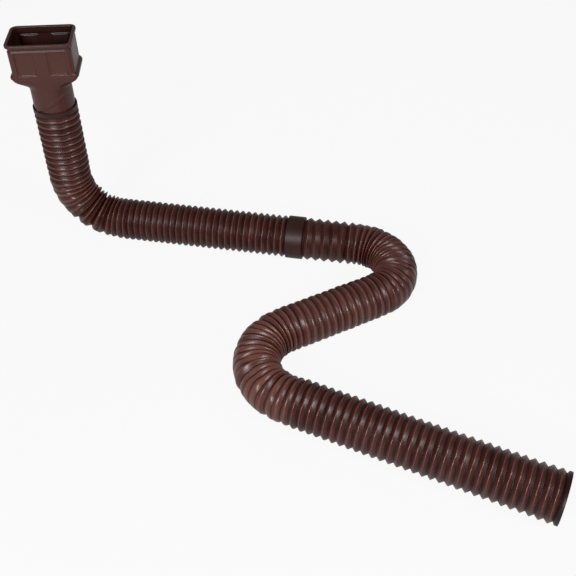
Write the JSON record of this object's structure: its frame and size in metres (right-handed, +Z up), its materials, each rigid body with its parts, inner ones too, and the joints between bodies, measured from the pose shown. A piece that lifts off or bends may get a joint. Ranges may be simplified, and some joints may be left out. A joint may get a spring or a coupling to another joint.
{
  "type": "flexible downspout extension",
  "caption": "Corrugated drainage hose with a rectangular-to-round adapter: it stands up under a downspout, bends to the ground and lies there in an S.",
  "frame": {"origin": "middle of the outline seen from above, at the height of the ground that the hose lies on", "axes": "+Z up, along the upright leg towards the adapter's mouth; +X along the long side of the adapter's mouth, the way the hose runs; the wall that carries the downspout is on the +Y side"},
  "size_m": [0.9044, 0.8828, 0.4577],
  "materials": {
    "hose_plastic": "satin",
    "adapter_plastic": "satin"
  },
  "bodies": {
    "root": {"corrugated_hose": "hose_plastic", "downspout_adapter": "adapter_plastic"}
  },
  "joints": []
}
